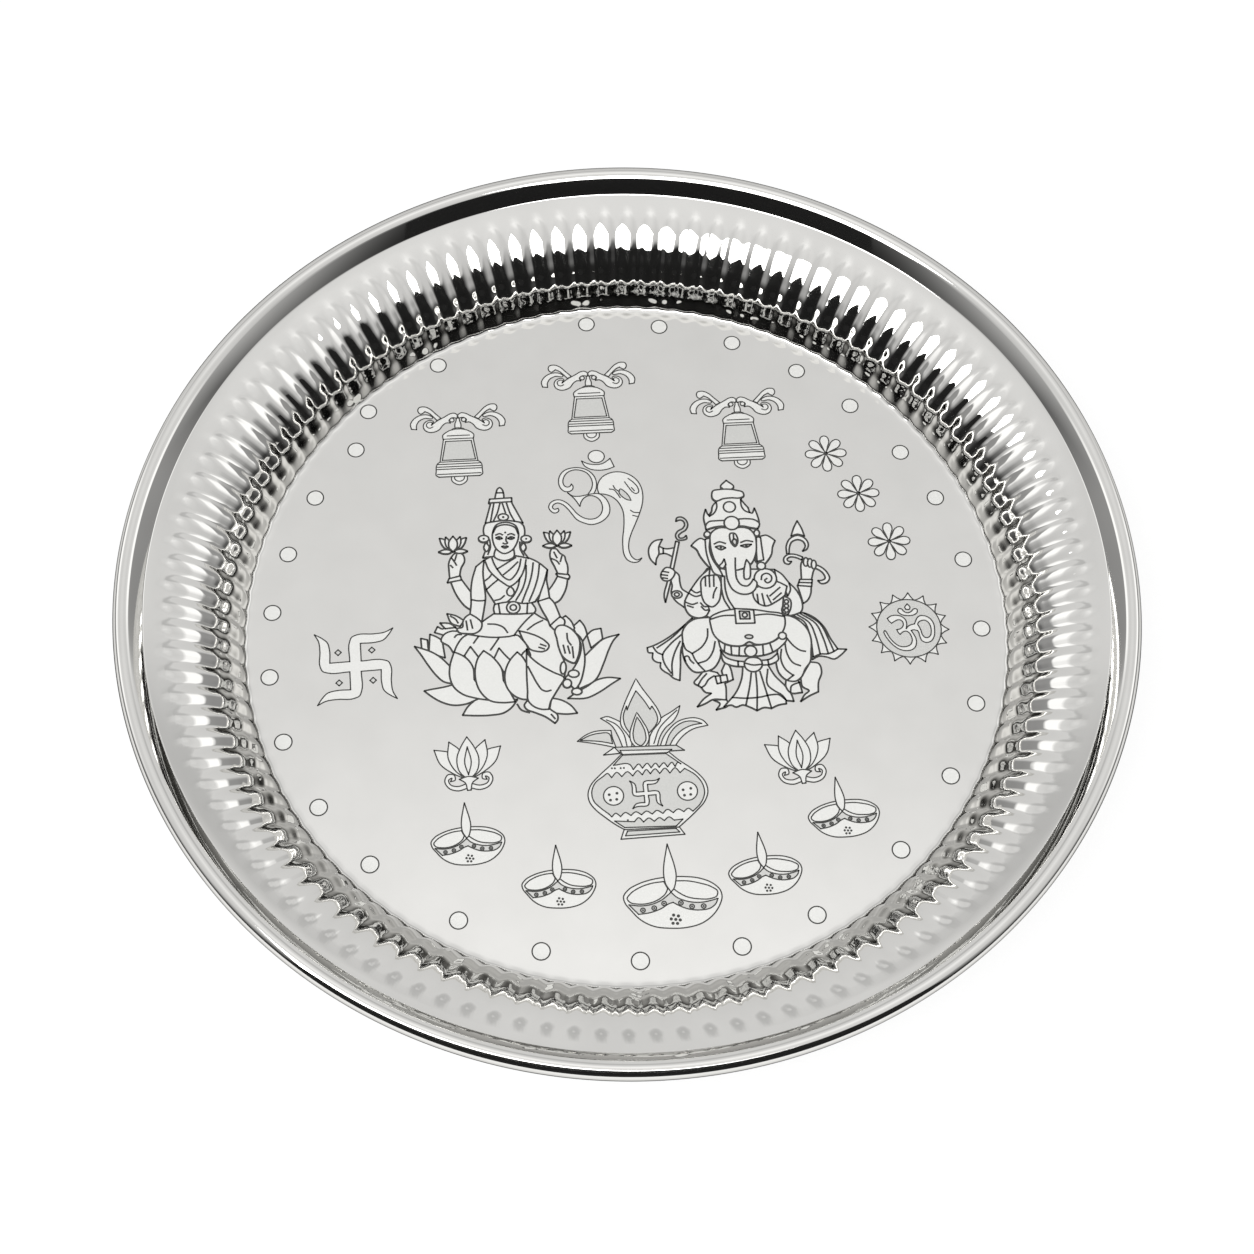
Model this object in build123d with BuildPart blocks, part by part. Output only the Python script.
"""Puja thali: a round tray pressed from polished stainless sheet, with a fluted wall and a wired rim.

Two pieces: the pressed pan, whose edge is curled over, and the wire that the curl is closed on.
Units are millimetres. +Z is up, and the origin is the centre of the underside of the floor.
"""

import os
from math import acos, cos, radians, sin, tan

from build123d import *

# Sheet and wire
sheet_thickness = 0.6
wire_radius = 2.0
wire_clearance = 0.1

# Floor and wall: the wall leaves the floor steeply and bows outwards as it climbs
floor_radius = 108.4
wall_bow_radius = 32.6
wall_base_slope = 77.0
wall_top_slope = 25.0

# Flutes: rounded ribs side by side up the wall, which meet in narrow grooves and run out below the brim
flute_count = 116
flute_depth = 0.5

# Brim, step and curled rim
brim_run = 6.0
brim_slope = 22.0
step_length = 4.7
step_slope = 55.0
curl_sweep = 300.0

# The curl is drawn with flat sides, within 0.1 mm of round, and with half as many inside, out of sight
curl_sides = 10
hidden_sides = 5

# Where the wall is sectioned, as shares of its turn from floor to brim, and how deep the flutes are there
wall_turn_shares = (0, 0.33, 0.67, 1)
flute_depth_shares = (0.6, 1, 1, 0)

base_angle = radians(wall_base_slope)
top_angle = radians(wall_top_slope)
flute_pitch = 360 / flute_count
joint_height = sheet_thickness + wall_bow_radius * (cos(top_angle) - cos(base_angle))


def slope_at_joint(offset):
    """Slope of the wall, offset out through the sheet, at the height where the brim takes over."""
    return acos(cos(top_angle) * wall_bow_radius / (wall_bow_radius - offset))


def wall_point(angle, offset):
    """Radius and height of the wall's mean line where it has this slope, offset out through the sheet."""
    radius = floor_radius + wall_bow_radius * (sin(base_angle) - sin(angle)) + offset * sin(angle)
    height = sheet_thickness + wall_bow_radius * (cos(angle) - cos(base_angle)) - offset * cos(angle)
    return radius, height


def wall_sections(offset):
    """Height, mean radius and flute depth of each ring up one face of the sheet."""
    sections = []
    for turn_share, depth_share in zip(wall_turn_shares, flute_depth_shares):
        angle = base_angle + turn_share * (slope_at_joint(offset) - base_angle)
        radius, height = wall_point(angle, offset)
        if turn_share == 0:
            floor_height = sheet_thickness - offset
            radius -= (height - floor_height) / tan(base_angle)
            height = floor_height
        sections.append((height, radius, depth_share * flute_depth / sin(angle)))
    return sections


def flute_points(radius, depth, flute):
    """Groove, crest and next groove of one rib of a ring, for its arc."""
    return (
        Vector(radius + depth / 2, 0).rotate(Axis.Z, flute_pitch * flute),
        Vector(radius - depth / 2, 0).rotate(Axis.Z, flute_pitch * (flute + 0.5)),
        Vector(radius + depth / 2, 0).rotate(Axis.Z, flute_pitch * (flute + 1)),
    )


# Rim profile, seen in the XZ plane: brim, step, then the curl that starts where the step ends
brim_top = Vector(wall_point(slope_at_joint(0), 0)[0], joint_height)
brim_under = Vector(wall_point(slope_at_joint(sheet_thickness), sheet_thickness)[0], joint_height)
step_foot = brim_top + Vector(brim_run, brim_run * tan(radians(brim_slope)))
step_way = Vector(1, 0).rotate(Axis.Z, step_slope)
step_top = step_foot + step_way * step_length
curl_inner_radius = wire_radius + wire_clearance
curl_outer_radius = curl_inner_radius + sheet_thickness
curl_centre = step_top + step_way.rotate(Axis.Z, -90) * curl_outer_radius
curl_start = step_slope + 90
bend_angle = step_slope - brim_slope
foot_offset = Vector(sheet_thickness / cos(radians(bend_angle / 2)), 0)
step_foot_under = step_foot + foot_offset.rotate(Axis.Z, brim_slope + bend_angle / 2 - 90)


def curl_points(radius, sides):
    """Corners of one face of the curl, from the top of the step round to the cut edge of the sheet."""
    turns = (curl_start - curl_sweep * side / sides for side in range(sides + 1))
    return [curl_centre + Vector(radius, 0).rotate(Axis.Z, turn) for turn in turns]


curl_outside = curl_points(curl_outer_radius, curl_sides)
curl_inside = curl_points(curl_inner_radius, hidden_sides)

# Pressed pan: an outer form less its hollow, each lofted through fluted rings, and the rim turned on top
with BuildPart() as pressed_pan:
    for offset, wall_mode in ((sheet_thickness, Mode.ADD), (0, Mode.SUBTRACT)):
        for height, radius, depth in wall_sections(offset):
            with BuildSketch(Plane.XY.offset(height)):
                with BuildLine():
                    for flute in range(flute_count):
                        ThreePointArc(*flute_points(radius, depth, flute))
                make_face()
        loft(ruled=True, mode=wall_mode)
    with BuildSketch(Plane.XZ):
        with BuildLine():
            Polyline(brim_top, step_foot, *curl_outside)
            Polyline(*curl_outside[-1:], *reversed(curl_inside), step_foot_under, brim_under, brim_top)
        make_face()
    revolve(axis=Axis.Z)
pressed_pan.part.label = "pressed_pan"

# Rim wire: lies in the curl with its sides along the curl's
with BuildPart() as rim_wire:
    with BuildSketch(Plane.XZ):
        with Locations(curl_centre):
            RegularPolygon(wire_radius, round(hidden_sides * 360 / curl_sweep), rotation=curl_start)
    revolve(axis=Axis.Z)
rim_wire.part.label = "rim_wire"

os.makedirs("parts", exist_ok=True)
export_step(pressed_pan.part, "parts/pressed_pan.step")
export_step(rim_wire.part, "parts/rim_wire.step")

size = pressed_pan.part.bounding_box().size
print(f"thali {size.X:.1f} x {size.Y:.1f} x {size.Z:.1f} mm")
